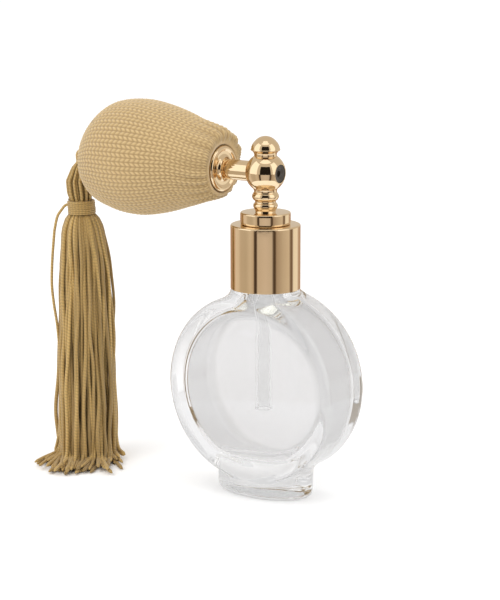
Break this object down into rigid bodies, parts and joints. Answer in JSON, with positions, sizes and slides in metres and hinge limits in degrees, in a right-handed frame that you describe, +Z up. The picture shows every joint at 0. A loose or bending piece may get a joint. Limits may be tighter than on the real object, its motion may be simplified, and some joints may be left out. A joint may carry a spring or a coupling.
{
  "type": "bulb atomiser perfume bottle",
  "caption": "Round flat glass perfume flask with a screwed gold collar, a turned swivelling spray head, a knit-covered squeeze bulb and a long thread tassel.",
  "frame": {"origin": "on the neck's axis, at the underside of the oval foot", "axes": "+Z up along the neck; +X the way the nozzle sprays, with the squeeze bulb along -X; the flask's flat faces look along -Y and +Y"},
  "size_m": [0.1025, 0.034, 0.1106],
  "materials": {
    "clear_glass": "clear, polished",
    "clear_plastic": "clear",
    "gold_metal": "mirror polished pale gold plating",
    "white_seal": "matte",
    "white_plastic": "satin",
    "dark_plastic": "satin",
    "black_rubber": "matte",
    "tan_knit": "knitted",
    "tassel_thread": "silky thread"
  },
  "bodies": {
    "bottle": {"glass_bottle": "clear_glass"},
    "stem": {"neck_gasket": "white_seal", "stem_plug": "white_plastic", "dip_tube": "clear_plastic", "spindle_seal": "black_rubber", "retaining_clip": "gold_metal"},
    "collar": {"collar_shell": "gold_metal", "collar_liner": "white_plastic"},
    "head": {"head_base_disc": "gold_metal", "head_spool": "gold_metal", "head_ball": "gold_metal", "finial_cap": "gold_metal", "nozzle_insert": "dark_plastic", "nozzle_tip": "dark_plastic", "air_tube": "gold_metal", "bulb_flange": "gold_metal", "bulb_nipple": "gold_metal", "outlet_valve_seat": "white_plastic", "outlet_valve_cage": "white_plastic", "rubber_bulb": "black_rubber", "knit_cover": "tan_knit", "neck_ring": "gold_metal"},
    "outlet_ball": {"outlet_valve_ball": "white_plastic"},
    "bulb_end": {"intake_valve_body": "white_plastic", "intake_valve_cage": "white_plastic"},
    "intake_ball": {"intake_valve_ball": "white_plastic"},
    "eyelet": {"tassel_eyelet": "gold_metal"},
    "tassel": {"tassel_loop": "tassel_thread", "tassel_binding": "tassel_thread", "tassel_core": "tassel_thread", "tassel_skirt": "tassel_thread"}
  },
  "joints": [
    {"name": "closure_lift", "type": "slide", "parent": "bottle", "child": "stem", "axis": [0, 0, 1], "range_m": [0, 0.00476]},
    {"name": "collar_turn", "type": "hinge", "parent": "stem", "child": "collar", "pos_m": [0, 0, 0.0697], "axis": [0, 0, 1], "range_deg": [0, 540]},
    {"name": "head_swivel", "type": "hinge", "parent": "stem", "child": "head", "pos_m": [0, 0, 0.085], "axis": [0, 0, 1], "continuous": true},
    {"name": "outlet_ball_lift", "type": "slide", "parent": "head", "child": "outlet_ball", "axis": [1, 0, 0], "range_m": [0, 0.0006]},
    {"name": "bulb_squeeze", "type": "slide", "parent": "head", "child": "bulb_end", "axis": [1, 0, 0], "range_m": [0, 0.01], "stiffness_N_per_m": 400, "deforming": ["rubber_bulb", "knit_cover"]},
    {"name": "intake_ball_lift", "type": "slide", "parent": "bulb_end", "child": "intake_ball", "axis": [1, 0, 0], "range_m": [0, 0.0006]},
    {"name": "eyelet_turn", "type": "hinge", "parent": "bulb_end", "child": "eyelet", "pos_m": [-0.0623, 0, 0.0936], "axis": [1, 0, 0], "range_deg": [-45, 45]},
    {"name": "tassel_swing", "type": "hinge", "parent": "eyelet", "child": "tassel", "pos_m": [-0.065, 0, 0.0936], "axis": [0, 1, 0], "range_deg": [-5, 60]}
  ],
  "couplings": [
    {"joint": "collar_turn", "follows": "closure_lift", "rad_per_m": 1979}
  ]
}
